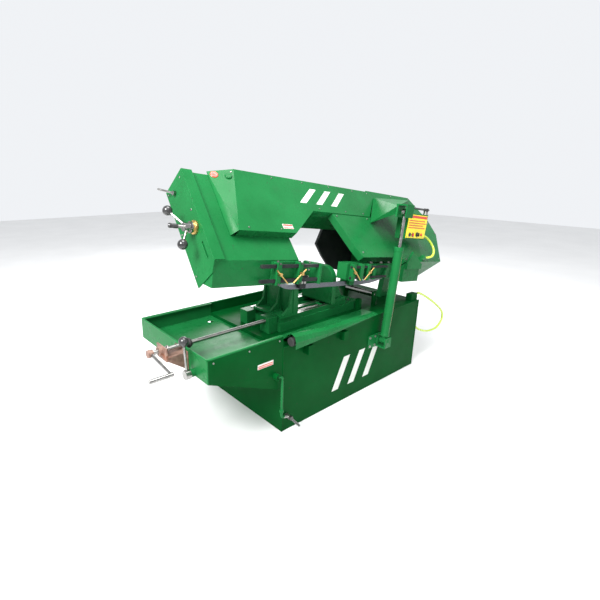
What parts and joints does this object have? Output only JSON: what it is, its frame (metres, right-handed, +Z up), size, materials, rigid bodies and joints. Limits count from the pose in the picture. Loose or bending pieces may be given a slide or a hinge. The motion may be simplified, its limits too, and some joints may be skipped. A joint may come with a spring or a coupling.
{
  "type": "horizontal band saw",
  "caption": "Green hinged-bow horizontal band saw on a box cabinet: wheel cases, hollow beam, guide arm, sliding vice, coolant tray, lift cylinder, panel and coolant hose",
  "frame": {"origin": "centre of the cabinet's underside, on the floor", "axes": "+X runs along the cabinet from the vice crank to the bow pivot, +Y from the operator's front to the back, +Z is up; the bow is stored partly raised, as in the picture"},
  "size_m": [2.5743, 0.834, 1.4338],
  "materials": {
    "green_paint": "gloss mid green machine enamel over sheet steel",
    "black_plastic": "satin black moulded plastic",
    "dark_paint": "dark grey-black machine paint",
    "bright_steel": "bare ground steel",
    "chrome": "polished plated steel, black ball knobs",
    "brass": "dull machined brass",
    "cast_iron": "dark oily cast iron",
    "worn_brown_paint": "worn red-brown primer with rust",
    "yellow_panel": "yellow panel face with plain bars",
    "black_rubber": "black rubber",
    "hose_plastic": "yellow-green plastic coolant hose"
  },
  "bodies": {
    "cabinet": {"base_cabinet": "green_paint", "coolant_tray": "green_paint", "screw_bracket": "worn_brown_paint", "screw_boot": "black_rubber", "vice_bed": "green_paint", "rail_block_front": "green_paint", "fixed_jaw": "green_paint", "fixed_jaw_face": "bright_steel", "offcut_chute": "green_paint", "chute_roller": "black_rubber", "cylinder_clevis": "green_paint", "drain_cock": "bright_steel", "coolant_fitting": "black_plastic", "pivot_pedestal_front": "green_paint", "pivot_pedestal_rear": "green_paint", "pivot_shaft": "bright_steel", "coolant_hose": "hose_plastic"},
    "bow": {"idler_case": "green_paint", "idler_end_cover": "green_paint", "beam_tube": "green_paint", "beam_cover": "green_paint", "drive_case": "green_paint", "bow_column": "green_paint", "cylinder_bracket": "green_paint", "rear_brace": "dark_paint", "pivot_tube": "green_paint", "gearbox": "cast_iron", "drive_motor": "dark_paint", "tension_hub": "brass", "saw_blade": "bright_steel", "arm_clamp": "green_paint", "right_guide_box": "green_paint", "chip_brush_guard": "green_paint", "control_box": "green_paint", "control_panel": "yellow_panel", "valve_post": "bright_steel", "bow_hose": "hose_plastic"},
    "drive_wheel": {"drive_wheel": "cast_iron"},
    "tension_carriage": {"tension_carriage": "cast_iron"},
    "idler_wheel": {"idler_wheel": "cast_iron"},
    "tension_handle": {"tension_handle": "chrome"},
    "guide_arm": {"guide_arm": "dark_paint"},
    "clamp_lever_left": {"clamp_lever_left": "brass"},
    "clamp_lever_right": {"clamp_lever_right": "brass"},
    "rear_wheel_door": {"rear_wheel_door": "green_paint"},
    "cover_latch": {"cover_latch": "chrome"},
    "feed_valve_handle": {"feed_valve_handle": "black_plastic"},
    "start_button": {"start_button": "black_plastic"},
    "stop_button": {"stop_button": "black_plastic"},
    "moving_jaw": {"moving_jaw": "green_paint", "moving_jaw_face": "bright_steel"},
    "vice_screw": {"lead_screw": "bright_steel", "crank_handle": "chrome"},
    "ball_lever": {"ball_lever": "chrome"},
    "drain_lever": {"drain_lever": "black_plastic"},
    "rear_access_door": {"rear_access_door": "green_paint"},
    "outfeed_roller": {"outfeed_roller": "chrome"},
    "cylinder_barrel": {"cylinder_barrel": "green_paint"},
    "cylinder_rod": {"cylinder_rod": "chrome"}
  },
  "joints": [
    {"name": "bow_swing", "type": "hinge", "parent": "cabinet", "child": "bow", "pos_m": [0.575, 0, 0.68], "axis": [0, 1, 0], "range_deg": [-11.1, 22]},
    {"name": "drive_wheel_spin", "type": "hinge", "parent": "bow", "child": "drive_wheel", "pos_m": [0.77313, -0.07517, 0.89531], "axis": [-0.0827, 0.7431, -0.664], "continuous": true},
    {"name": "tension_slide", "type": "slide", "parent": "bow", "child": "tension_carriage", "axis": [0.9923, 0, -0.1236], "range_m": [0, 0.012]},
    {"name": "idler_wheel_spin", "type": "hinge", "parent": "tension_carriage", "child": "idler_wheel", "pos_m": [-0.76498, -0.07517, 1.08689], "axis": [-0.0827, 0.7431, -0.664], "continuous": true},
    {"name": "tension_handle_turn", "type": "hinge", "parent": "bow", "child": "tension_handle", "pos_m": [-1.0855, -0.11976, 1.16727], "axis": [0.9923, 0, -0.1236], "range_deg": [0, 1080]},
    {"name": "guide_arm_slide", "type": "slide", "parent": "bow", "child": "guide_arm", "axis": [0.9923, 0, -0.1236], "range_m": [-0.05, 0.1]},
    {"name": "clamp_lever_left_turn", "type": "hinge", "parent": "bow", "child": "clamp_lever_left", "pos_m": [-0.69485, -0.348, 0.92181], "axis": [0, -1, 0], "range_deg": [-60, 60]},
    {"name": "clamp_lever_right_turn", "type": "hinge", "parent": "bow", "child": "clamp_lever_right", "pos_m": [-0.54104, -0.348, 0.90265], "axis": [0, -1, 0], "range_deg": [-60, 60]},
    {"name": "rear_wheel_door_hinge", "type": "hinge", "parent": "bow", "child": "rear_wheel_door", "pos_m": [-0.75031, 0.19082, 1.25324], "axis": [0.9923, 0, -0.1236], "range_deg": [0, 70]},
    {"name": "cover_latch_turn", "type": "hinge", "parent": "bow", "child": "cover_latch", "pos_m": [-1.02438, 0.09546, 1.31017], "axis": [0.9923, 0, -0.1236], "range_deg": [0, 60]},
    {"name": "feed_valve_turn", "type": "hinge", "parent": "bow", "child": "feed_valve_handle", "pos_m": [0.76605, -0.285, 1.16208], "axis": [0.1236, 0, 0.9923], "range_deg": [-80, 80]},
    {"name": "start_button_press", "type": "slide", "parent": "bow", "child": "start_button", "axis": [0, 1, 0], "range_m": [0, 0.004], "stiffness_N_per_m": 300},
    {"name": "stop_button_press", "type": "slide", "parent": "bow", "child": "stop_button", "axis": [0, 1, 0], "range_m": [0, 0.004], "stiffness_N_per_m": 300},
    {"name": "vice_screw_turn", "type": "hinge", "parent": "cabinet", "child": "vice_screw", "pos_m": [-1.295, -0.13, 0.59], "axis": [1, 0, 0], "range_deg": [0, 16560]},
    {"name": "vice_jaw_slide", "type": "slide", "parent": "cabinet", "child": "moving_jaw", "axis": [1, 0, 0], "range_m": [0, 0.278]},
    {"name": "ball_lever_swing", "type": "hinge", "parent": "cabinet", "child": "ball_lever", "pos_m": [-1.188, -0.24, 0.484], "axis": [1, 0, 0], "range_deg": [0, 75]},
    {"name": "drain_lever_turn", "type": "hinge", "parent": "cabinet", "child": "drain_lever", "pos_m": [-0.645, -0.403, 0.1], "axis": [0, -1, 0], "range_deg": [0, 90]},
    {"name": "rear_access_door_hinge", "type": "hinge", "parent": "cabinet", "child": "rear_access_door", "pos_m": [-0.39, 0.3745, 0.26], "axis": [0, 0, 1], "range_deg": [0, 110]},
    {"name": "outfeed_roller_spin", "type": "hinge", "parent": "cabinet", "child": "outfeed_roller", "pos_m": [0.305, -0.102, 0.6], "axis": [0, 1, 0], "continuous": true},
    {"name": "cylinder_tilt", "type": "hinge", "parent": "cabinet", "child": "cylinder_barrel", "pos_m": [0.205, -0.4, 0.34], "axis": [0, 1, 0], "range_deg": [-6.3, 12.3]},
    {"name": "cylinder_extend", "type": "slide", "parent": "cylinder_barrel", "child": "cylinder_rod", "axis": [0.112, 0, 0.9937], "range_m": [-0.061, 0.119]}
  ],
  "couplings": [
    {"joint": "idler_wheel_spin", "follows": "drive_wheel_spin", "ratio": 1},
    {"joint": "tension_slide", "follows": "tension_handle_turn", "m_per_rad": 0.00063662},
    {"joint": "vice_jaw_slide", "follows": "vice_screw_turn", "m_per_rad": 0.00095493},
    {"joint": "cylinder_tilt", "follows": "bow_swing", "ratio": 0.548},
    {"joint": "cylinder_extend", "follows": "bow_swing", "m_per_rad": 0.3083}
  ]
}
